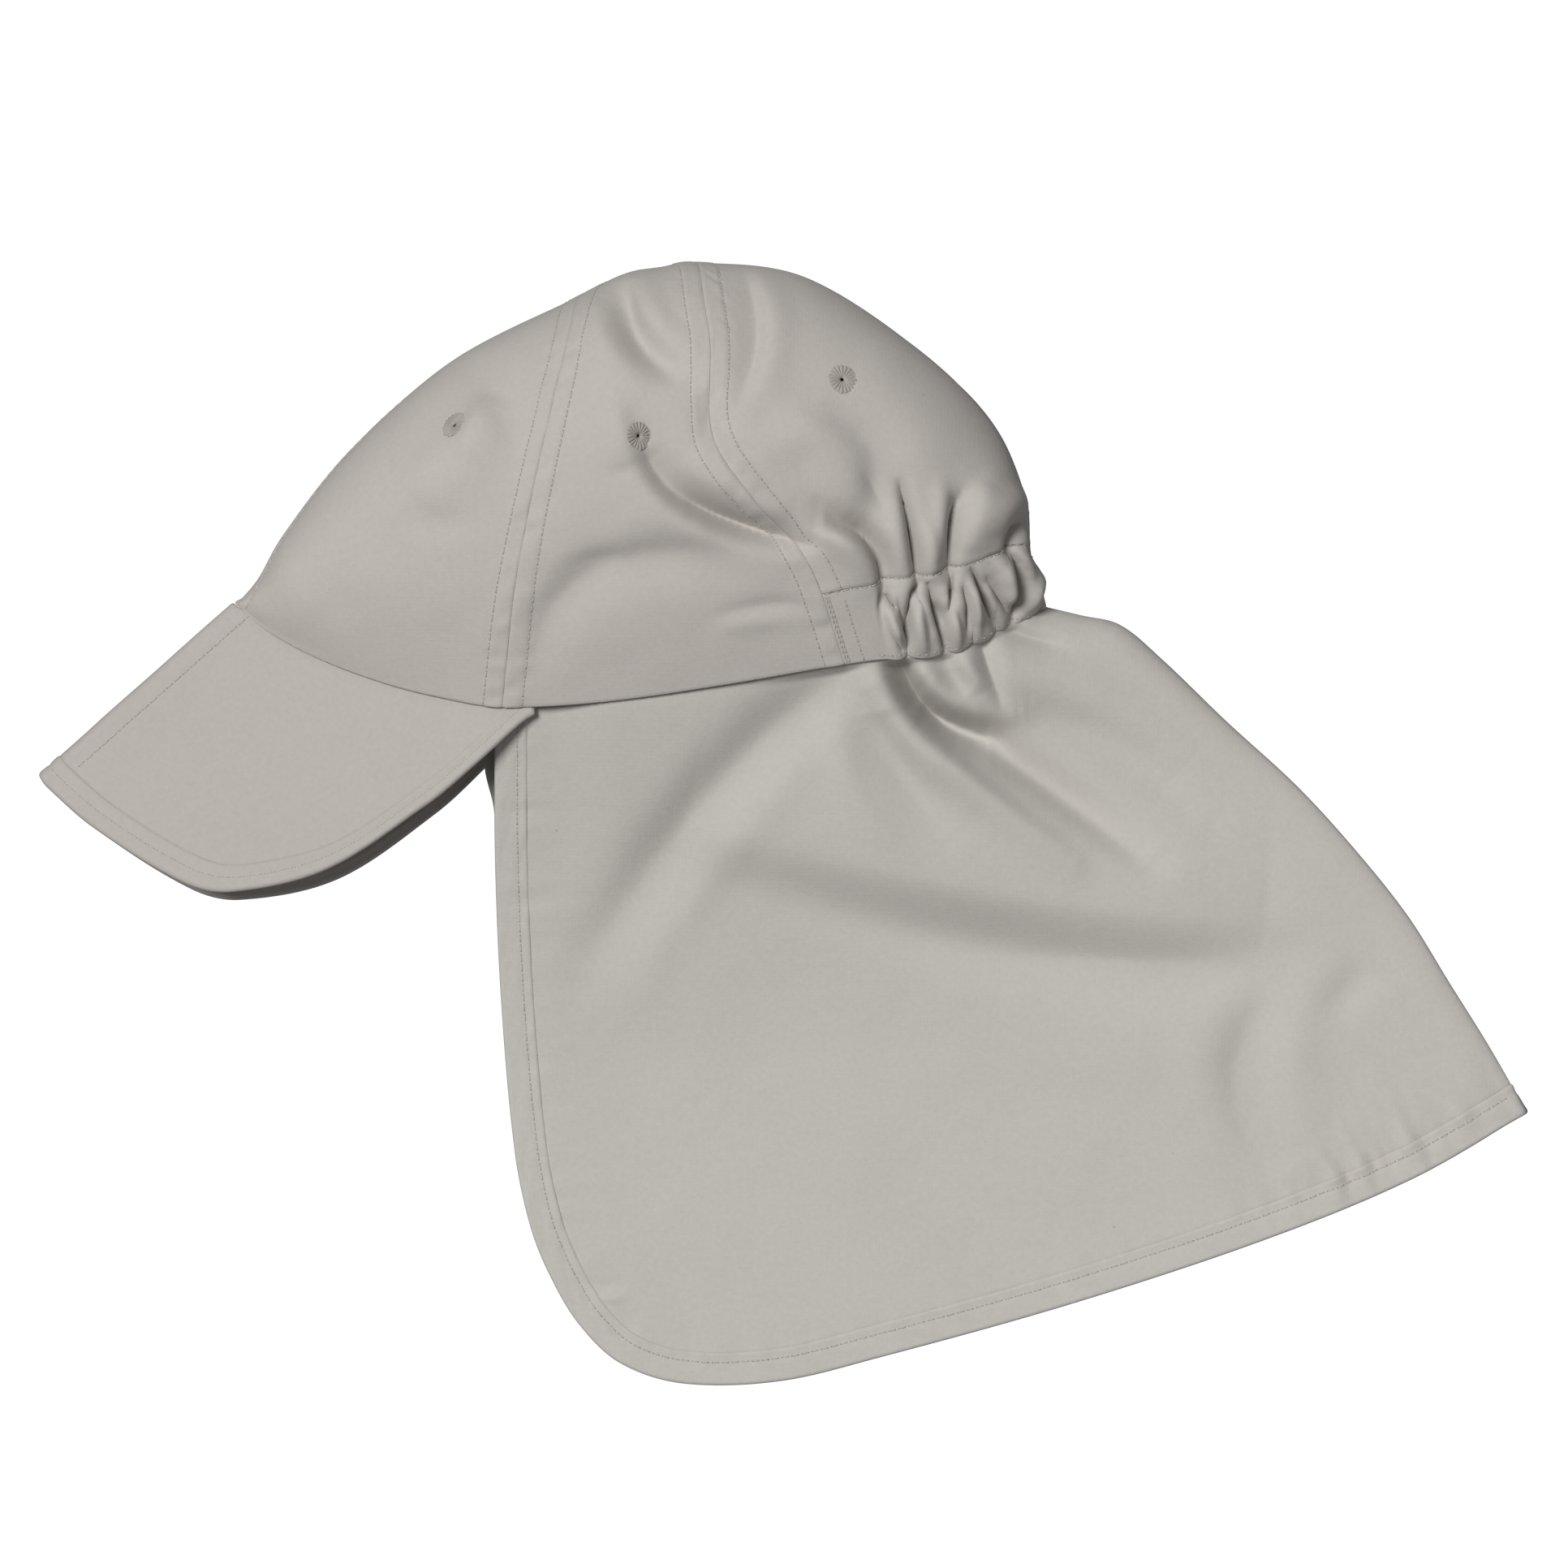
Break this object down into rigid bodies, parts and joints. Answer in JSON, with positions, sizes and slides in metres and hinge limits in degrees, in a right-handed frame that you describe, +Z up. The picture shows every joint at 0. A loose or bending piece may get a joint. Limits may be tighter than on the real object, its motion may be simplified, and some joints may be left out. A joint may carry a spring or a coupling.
{
  "type": "sun cap with neck flap",
  "caption": "Soft panelled sun cap with a foldable peak, gathered back band and long neck flap, lying on its side.",
  "frame": {"origin": "centre of the bounding box, on the floor that the cap lies on", "axes": "+X from the peak to the back of the neck flap, +Y to the top of the crown, +Z up, out of the wearer's left side"},
  "size_m": [0.4588, 0.346, 0.0571],
  "materials": {
    "crown_cloth": "fine plain-weave polyester, taupe grey, soft sheen",
    "peak_cloth": "the same cloth over a firm board, taupe grey",
    "flap_cloth": "fine plain-weave polyester, taupe grey, soft sheen",
    "eyelet_thread": "embroidery thread, taupe grey"
  },
  "bodies": {
    "root": {"crown_front_left": "crown_cloth", "crown_side_left": "crown_cloth", "crown_back_left": "crown_cloth", "crown_front_right": "crown_cloth", "crown_side_right": "crown_cloth", "crown_back_right": "crown_cloth", "back_casing": "crown_cloth", "peak": "peak_cloth", "peak_binding": "peak_cloth", "neck_flap": "flap_cloth", "flap_hem": "flap_cloth", "eyelet_front_left": "eyelet_thread", "eyelet_side_left": "eyelet_thread", "eyelet_back_left": "eyelet_thread", "eyelet_front_right": "eyelet_thread", "eyelet_side_right": "eyelet_thread", "eyelet_back_right": "eyelet_thread"}
  },
  "joints": []
}
